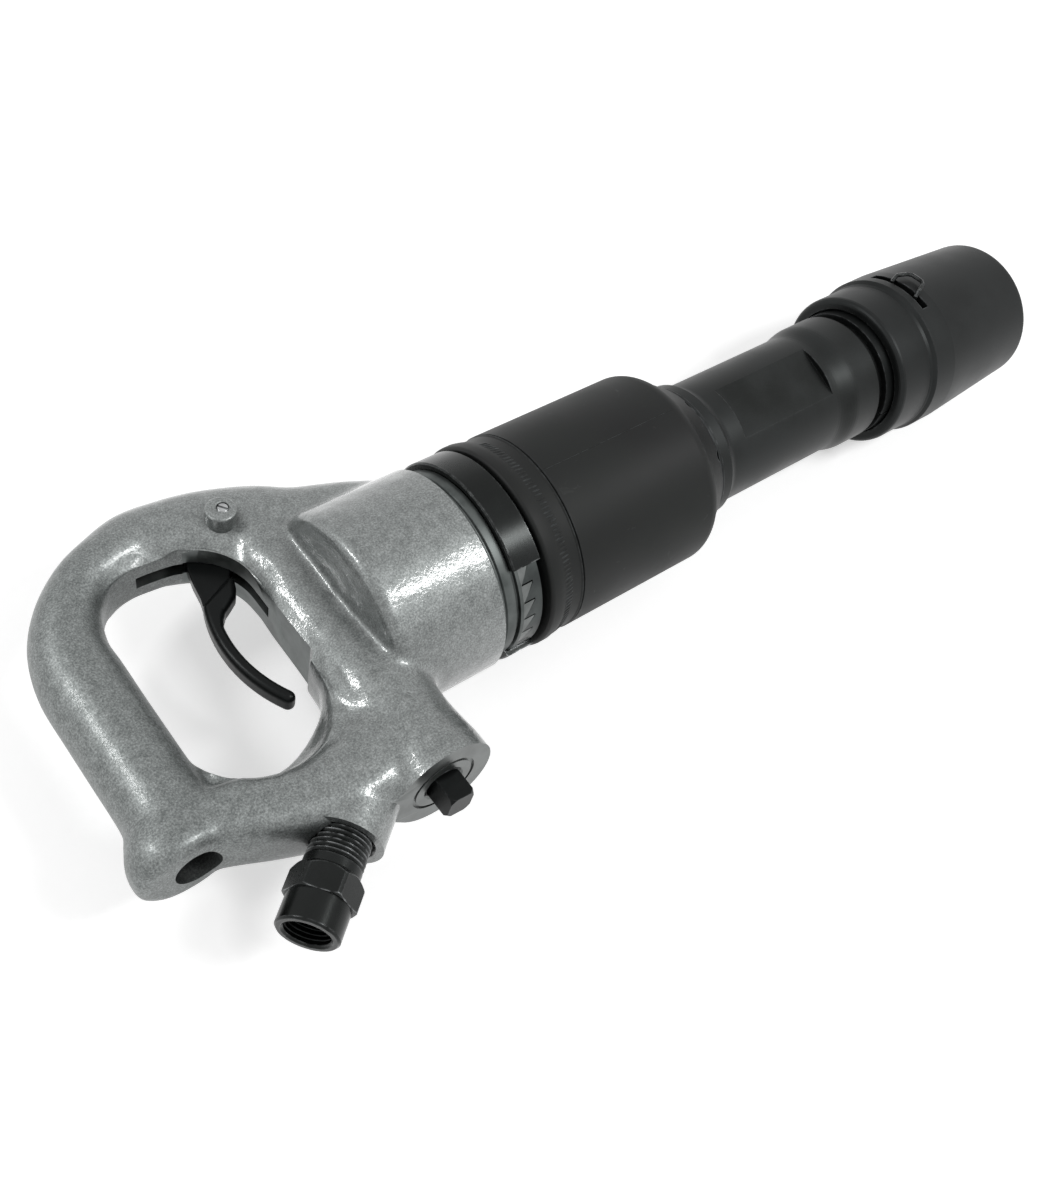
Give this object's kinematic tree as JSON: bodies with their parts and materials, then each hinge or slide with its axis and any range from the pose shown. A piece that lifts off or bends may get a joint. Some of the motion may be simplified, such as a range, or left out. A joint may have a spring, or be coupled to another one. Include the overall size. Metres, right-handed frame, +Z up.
{
  "type": "pneumatic hammer",
  "caption": "Hand-held pneumatic rivet buster: round barrel with a D handle, finger trigger, air inlet, exhaust deflector and chisel retainer.",
  "frame": {"origin": "centre of the mouth of the chisel bushing, on the barrel's axis", "axes": "+X out of the chisel end along the barrel; +Y towards the handle arm that carries the trigger pin; +Z up as the tool lies on its side, square to the D handle's plane"},
  "size_m": [0.5091, 0.1943, 0.0892],
  "materials": {
    "handle_paint": "hammered silver-grey paint on a steel forging",
    "black_oxide": "black oxide on machined steel",
    "barrel_steel": "dark oil-blackened alloy steel",
    "spring_black": "blackened spring steel",
    "spring_steel": "oiled spring wire",
    "ground_steel": "ground hardened steel",
    "bright_steel": "polished hardened steel",
    "bronze": "turned bronze",
    "screen_brass": "drawn brass",
    "black_rubber": "moulded black rubber",
    "deflector_rubber": "matte moulded black rubber"
  },
  "bodies": {
    "tool": {"handle": "handle_paint", "trigger_pin": "bright_steel", "throttle_bushing": "bronze", "stem_seal": "black_rubber", "throttle_spring": "spring_steel", "throttle_plug": "black_oxide", "inlet_fitting": "black_oxide", "inlet_screen": "screen_brass", "valve_cap": "ground_steel", "valve_case": "ground_steel", "dowel_pins": "bright_steel", "lock_ring": "black_oxide", "lock_ring_clip": "spring_black", "barrel": "barrel_steel", "chisel_bushing": "ground_steel", "deflector_snap_ring": "spring_black", "collar_half_left": "black_oxide", "collar_half_right": "black_oxide"},
    "trigger": {"trigger": "black_oxide"},
    "throttle": {"throttle_valve": "bright_steel"},
    "shuttle": {"shuttle_valve": "bright_steel"},
    "piston": {"piston": "bright_steel"},
    "deflector": {"exhaust_deflector": "deflector_rubber"},
    "retainer": {"retainer_sleeve": "barrel_steel", "retainer_bumper": "black_rubber", "thrust_ring": "ground_steel", "lock_wire": "spring_steel"}
  },
  "joints": [
    {"name": "trigger_pull", "type": "hinge", "parent": "tool", "child": "trigger", "pos_m": [-0.3655, 0.0557, 0], "axis": [0, 0, -1], "range_deg": [0, 15], "stiffness_Nm_per_rad": 1.5, "springref_deg": -11.46},
    {"name": "throttle_push", "type": "slide", "parent": "tool", "child": "throttle", "axis": [0, -1, 0], "range_m": [0, 0.0029], "stiffness_N_per_m": 100, "springref_m": -0.004, "deforming": ["throttle_spring"]},
    {"name": "shuttle_slide", "type": "slide", "parent": "tool", "child": "shuttle", "axis": [1, 0, 0], "range_m": [0, 0.005]},
    {"name": "piston_stroke", "type": "slide", "parent": "tool", "child": "piston", "axis": [1, 0, 0], "range_m": [0, 0.1016]},
    {"name": "deflector_turn", "type": "hinge", "parent": "tool", "child": "deflector", "pos_m": [-0.22, 0, 0], "axis": [1, 0, 0], "continuous": true},
    {"name": "retainer_turn", "type": "hinge", "parent": "tool", "child": "retainer", "pos_m": [0, 0, 0], "axis": [1, 0, 0], "continuous": true}
  ],
  "couplings": [
    {"joint": "throttle_push", "follows": "trigger_pull", "m_per_rad": 0.0109}
  ]
}
